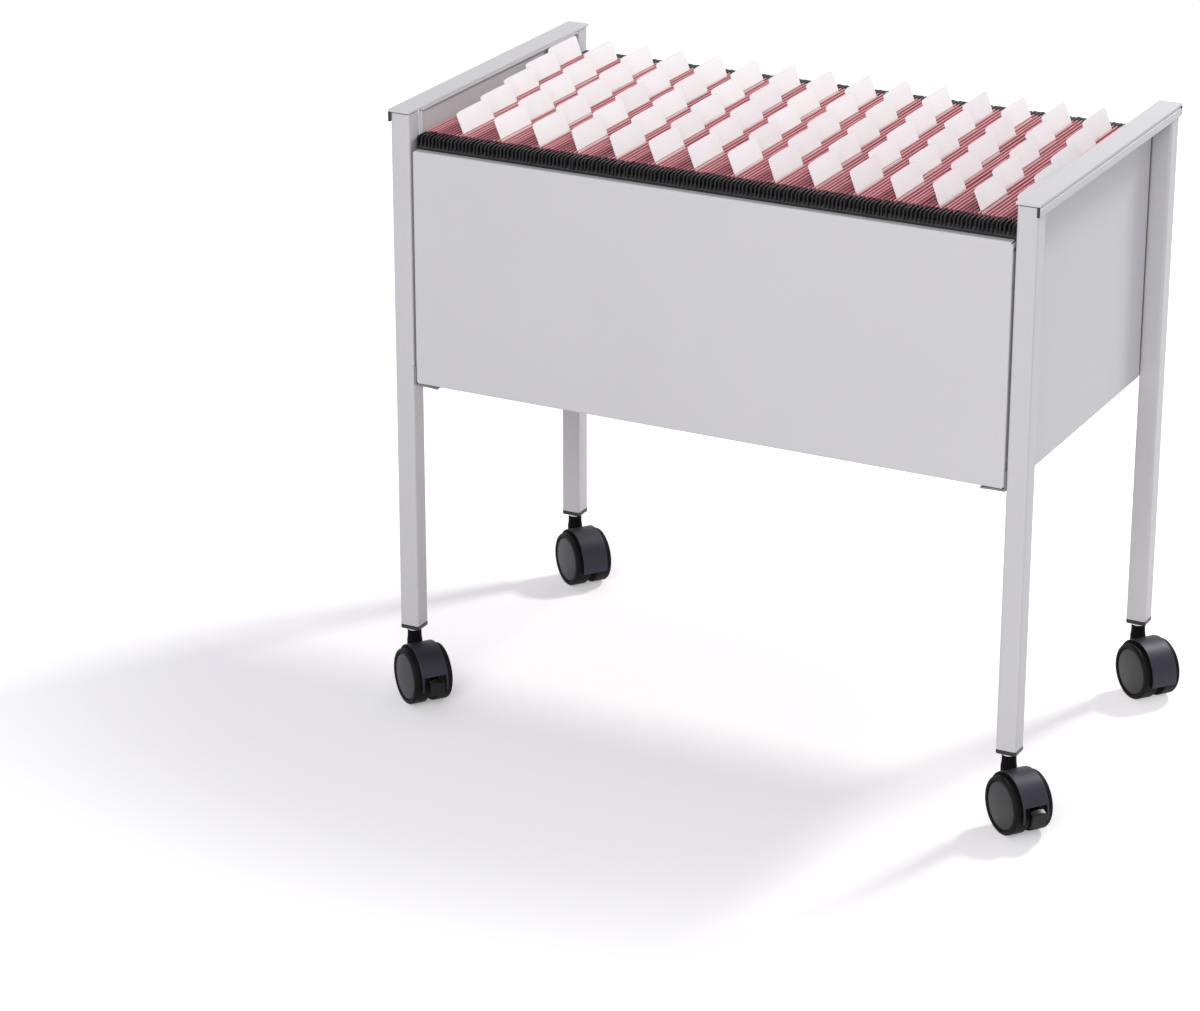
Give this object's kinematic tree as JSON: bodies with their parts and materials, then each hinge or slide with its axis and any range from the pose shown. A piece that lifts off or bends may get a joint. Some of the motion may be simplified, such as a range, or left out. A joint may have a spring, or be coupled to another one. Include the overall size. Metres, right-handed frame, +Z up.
{
  "type": "hanging file trolley",
  "caption": "Rolling frame of square legs and sheet panels that holds hanging files on its side rails, open at the top, on swivel castors with brakes in front.",
  "frame": {"origin": "on the floor, at the middle of the whole trolley's footprint, castors included", "axes": "+X along the long side, the front with the braked castors towards -Y, +Z up"},
  "size_m": [0.6976, 0.4032, 0.6],
  "materials": {
    "frame_paint": "satin silver grey paint",
    "panel_paint": "satin silver grey paint",
    "bracket_paint": "shaded grey paint",
    "black_plastic": "black moulded plastic with a soft sheen",
    "wheel_plastic": "dark grey moulded plastic",
    "bright_steel": "bright plated steel",
    "folder_card": "matt red card with white label tabs"
  },
  "bodies": {
    "frame": {"front_hanging_rail": "black_plastic", "front_left_bracket": "bracket_paint", "front_left_castor_stem": "bright_steel", "front_left_leg": "frame_paint", "front_left_leg_insert": "black_plastic", "front_panel": "panel_paint", "front_right_bracket": "bracket_paint", "front_right_castor_stem": "bright_steel", "front_right_leg": "frame_paint", "front_right_leg_insert": "black_plastic", "left_panel": "panel_paint", "left_top_cap": "frame_paint", "rear_hanging_rail": "black_plastic", "rear_left_bracket": "bracket_paint", "rear_left_castor_stem": "bright_steel", "rear_left_leg": "frame_paint", "rear_left_leg_insert": "black_plastic", "rear_panel": "panel_paint", "rear_right_bracket": "bracket_paint", "rear_right_castor_stem": "bright_steel", "rear_right_leg": "frame_paint", "rear_right_leg_insert": "black_plastic", "right_panel": "panel_paint", "right_top_cap": "frame_paint"},
    "front_left_castor": {"front_left_castor_housing": "black_plastic", "front_left_axle": "bright_steel"},
    "front_left_inner_wheel": {"front_left_inner_wheel": "wheel_plastic"},
    "front_left_outer_wheel": {"front_left_outer_wheel": "wheel_plastic"},
    "front_left_brake_lever": {"front_left_brake_lever": "black_plastic"},
    "front_right_castor": {"front_right_castor_housing": "black_plastic", "front_right_axle": "bright_steel"},
    "front_right_inner_wheel": {"front_right_inner_wheel": "wheel_plastic"},
    "front_right_outer_wheel": {"front_right_outer_wheel": "wheel_plastic"},
    "front_right_brake_lever": {"front_right_brake_lever": "black_plastic"},
    "rear_left_castor": {"rear_left_castor_housing": "black_plastic", "rear_left_axle": "bright_steel"},
    "rear_left_inner_wheel": {"rear_left_inner_wheel": "wheel_plastic"},
    "rear_left_outer_wheel": {"rear_left_outer_wheel": "wheel_plastic"},
    "rear_right_castor": {"rear_right_castor_housing": "black_plastic", "rear_right_axle": "bright_steel"},
    "rear_right_inner_wheel": {"rear_right_inner_wheel": "wheel_plastic"},
    "rear_right_outer_wheel": {"rear_right_outer_wheel": "wheel_plastic"},
    "file_pack_01": {"file_pack_01": "folder_card"},
    "file_pack_02": {"file_pack_02": "folder_card"},
    "file_pack_03": {"file_pack_03": "folder_card"},
    "file_pack_04": {"file_pack_04": "folder_card"},
    "file_pack_05": {"file_pack_05": "folder_card"},
    "file_pack_06": {"file_pack_06": "folder_card"},
    "file_pack_07": {"file_pack_07": "folder_card"},
    "file_pack_08": {"file_pack_08": "folder_card"},
    "file_pack_09": {"file_pack_09": "folder_card"},
    "file_pack_10": {"file_pack_10": "folder_card"},
    "file_pack_11": {"file_pack_11": "folder_card"},
    "file_pack_12": {"file_pack_12": "folder_card"},
    "file_pack_13": {"file_pack_13": "folder_card"},
    "file_pack_14": {"file_pack_14": "folder_card"},
    "file_pack_15": {"file_pack_15": "folder_card"}
  },
  "joints": [
    {"name": "front_left_swivel", "type": "hinge", "parent": "frame", "child": "front_left_castor", "pos_m": [-0.33131, -0.15796, 0], "axis": [0, 0, 1], "continuous": true},
    {"name": "front_left_inner_wheel_roll", "type": "hinge", "parent": "front_left_castor", "child": "front_left_inner_wheel", "pos_m": [-0.31534, -0.17, 0.028], "axis": [0.6018, 0.7986, 0], "continuous": true},
    {"name": "front_left_outer_wheel_roll", "type": "hinge", "parent": "front_left_castor", "child": "front_left_outer_wheel", "pos_m": [-0.31534, -0.17, 0.028], "axis": [0.6018, 0.7986, 0], "continuous": true},
    {"name": "front_left_brake_press", "type": "hinge", "parent": "front_left_castor", "child": "front_left_brake_lever", "pos_m": [-0.29857, -0.18264, 0.022], "axis": [0.6018, 0.7986, 0], "range_deg": [0, 18]},
    {"name": "front_right_swivel", "type": "hinge", "parent": "frame", "child": "front_right_castor", "pos_m": [0.29869, -0.15796, 0], "axis": [0, 0, 1], "continuous": true},
    {"name": "front_right_inner_wheel_roll", "type": "hinge", "parent": "front_right_castor", "child": "front_right_inner_wheel", "pos_m": [0.31466, -0.17, 0.028], "axis": [0.6018, 0.7986, 0], "continuous": true},
    {"name": "front_right_outer_wheel_roll", "type": "hinge", "parent": "front_right_castor", "child": "front_right_outer_wheel", "pos_m": [0.31466, -0.17, 0.028], "axis": [0.6018, 0.7986, 0], "continuous": true},
    {"name": "front_right_brake_press", "type": "hinge", "parent": "front_right_castor", "child": "front_right_brake_lever", "pos_m": [0.33143, -0.18264, 0.022], "axis": [0.6018, 0.7986, 0], "range_deg": [0, 18]},
    {"name": "rear_left_swivel", "type": "hinge", "parent": "frame", "child": "rear_left_castor", "pos_m": [-0.33131, 0.18204, 0], "axis": [0, 0, 1], "continuous": true},
    {"name": "rear_left_inner_wheel_roll", "type": "hinge", "parent": "rear_left_castor", "child": "rear_left_inner_wheel", "pos_m": [-0.31534, 0.17, 0.028], "axis": [0.6018, 0.7986, 0], "continuous": true},
    {"name": "rear_left_outer_wheel_roll", "type": "hinge", "parent": "rear_left_castor", "child": "rear_left_outer_wheel", "pos_m": [-0.31534, 0.17, 0.028], "axis": [0.6018, 0.7986, 0], "continuous": true},
    {"name": "rear_right_swivel", "type": "hinge", "parent": "frame", "child": "rear_right_castor", "pos_m": [0.29869, 0.18204, 0], "axis": [0, 0, 1], "continuous": true},
    {"name": "rear_right_inner_wheel_roll", "type": "hinge", "parent": "rear_right_castor", "child": "rear_right_inner_wheel", "pos_m": [0.31466, 0.17, 0.028], "axis": [0.6018, 0.7986, 0], "continuous": true},
    {"name": "rear_right_outer_wheel_roll", "type": "hinge", "parent": "rear_right_castor", "child": "rear_right_outer_wheel", "pos_m": [0.31466, 0.17, 0.028], "axis": [0.6018, 0.7986, 0], "continuous": true},
    {"name": "file_pack_01_lift", "type": "slide", "parent": "frame", "child": "file_pack_01", "axis": [0, 0, 1], "range_m": [0, 0.3]},
    {"name": "file_pack_02_lift", "type": "slide", "parent": "frame", "child": "file_pack_02", "axis": [0, 0, 1], "range_m": [0, 0.3]},
    {"name": "file_pack_03_lift", "type": "slide", "parent": "frame", "child": "file_pack_03", "axis": [0, 0, 1], "range_m": [0, 0.3]},
    {"name": "file_pack_04_lift", "type": "slide", "parent": "frame", "child": "file_pack_04", "axis": [0, 0, 1], "range_m": [0, 0.3]},
    {"name": "file_pack_05_lift", "type": "slide", "parent": "frame", "child": "file_pack_05", "axis": [0, 0, 1], "range_m": [0, 0.3]},
    {"name": "file_pack_06_lift", "type": "slide", "parent": "frame", "child": "file_pack_06", "axis": [0, 0, 1], "range_m": [0, 0.3]},
    {"name": "file_pack_07_lift", "type": "slide", "parent": "frame", "child": "file_pack_07", "axis": [0, 0, 1], "range_m": [0, 0.3]},
    {"name": "file_pack_08_lift", "type": "slide", "parent": "frame", "child": "file_pack_08", "axis": [0, 0, 1], "range_m": [0, 0.3]},
    {"name": "file_pack_09_lift", "type": "slide", "parent": "frame", "child": "file_pack_09", "axis": [0, 0, 1], "range_m": [0, 0.3]},
    {"name": "file_pack_10_lift", "type": "slide", "parent": "frame", "child": "file_pack_10", "axis": [0, 0, 1], "range_m": [0, 0.3]},
    {"name": "file_pack_11_lift", "type": "slide", "parent": "frame", "child": "file_pack_11", "axis": [0, 0, 1], "range_m": [0, 0.3]},
    {"name": "file_pack_12_lift", "type": "slide", "parent": "frame", "child": "file_pack_12", "axis": [0, 0, 1], "range_m": [0, 0.3]},
    {"name": "file_pack_13_lift", "type": "slide", "parent": "frame", "child": "file_pack_13", "axis": [0, 0, 1], "range_m": [0, 0.3]},
    {"name": "file_pack_14_lift", "type": "slide", "parent": "frame", "child": "file_pack_14", "axis": [0, 0, 1], "range_m": [0, 0.3]},
    {"name": "file_pack_15_lift", "type": "slide", "parent": "frame", "child": "file_pack_15", "axis": [0, 0, 1], "range_m": [0, 0.3]}
  ]
}
